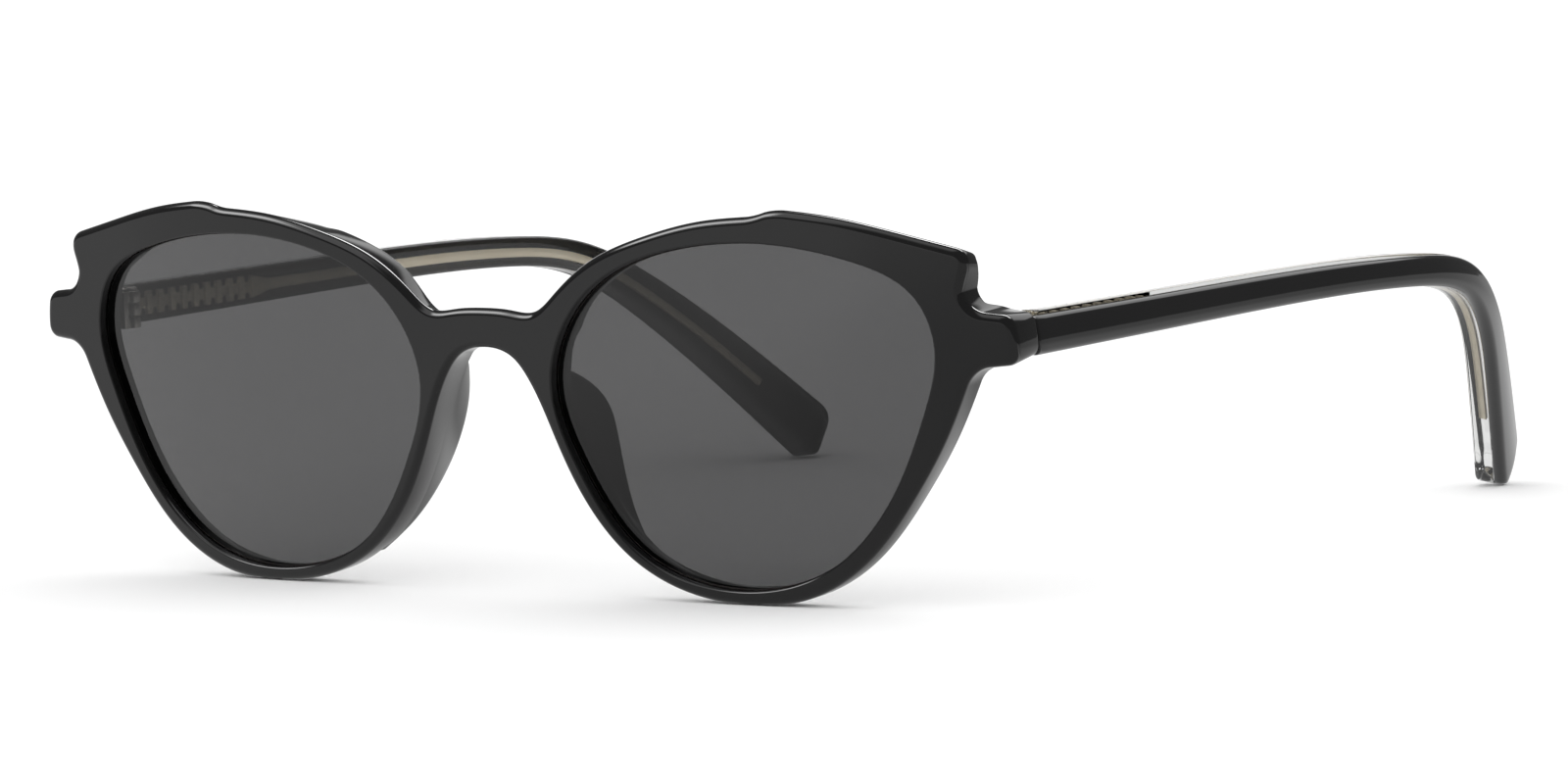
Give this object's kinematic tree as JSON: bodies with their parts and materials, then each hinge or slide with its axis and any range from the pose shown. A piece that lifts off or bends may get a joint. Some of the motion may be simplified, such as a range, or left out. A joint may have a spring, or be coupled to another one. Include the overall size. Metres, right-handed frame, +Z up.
{
  "type": "cat eye sunglasses",
  "caption": "Cat eye sunglasses: black acetate front with stepped brows and swept wings, grey lenses, and folding temples of black over clear acetate with a flat core wire.",
  "frame": {"origin": "centre of the footprint at table height, with the glasses standing open on the lowest points of both rims and on both temple tips", "axes": "+X to the wearer's left, +Y from the front of the glasses to the temple tips, +Z up; the front leans 4.2 degrees, its top towards -Y"},
  "size_m": [0.1438, 0.1406, 0.0453],
  "materials": {
    "black_acetate": "polished black acetate",
    "crystal_acetate": "polished clear acetate",
    "grey_lens": "smooth neutral grey tint",
    "champagne_wire": "brushed pale champagne",
    "hinge_metal": "satin nickel-coloured metal"
  },
  "bodies": {
    "front": {"front_frame": "black_acetate", "lens_left": "grey_lens", "lens_right": "grey_lens", "nose_pad_left": "black_acetate", "nose_pad_right": "black_acetate", "front_hinge_left": "hinge_metal", "front_hinge_right": "hinge_metal", "hinge_screw_left": "hinge_metal", "hinge_screw_right": "hinge_metal"},
    "temple_left": {"temple_outer_left": "black_acetate", "temple_inner_left": "crystal_acetate", "core_wire_left": "champagne_wire", "temple_hinge_left": "hinge_metal"},
    "temple_right": {"temple_outer_right": "black_acetate", "temple_inner_right": "crystal_acetate", "core_wire_right": "champagne_wire", "temple_hinge_right": "hinge_metal"}
  },
  "joints": [
    {"name": "fold_left", "type": "hinge", "parent": "front", "child": "temple_left", "pos_m": [0.0632, -0.05926, 0.031], "axis": [0, 0, 1], "range_deg": [0, 87]},
    {"name": "fold_right", "type": "hinge", "parent": "front", "child": "temple_right", "pos_m": [-0.0632, -0.05926, 0.031], "axis": [0, 0, -1], "range_deg": [0, 74]}
  ]
}
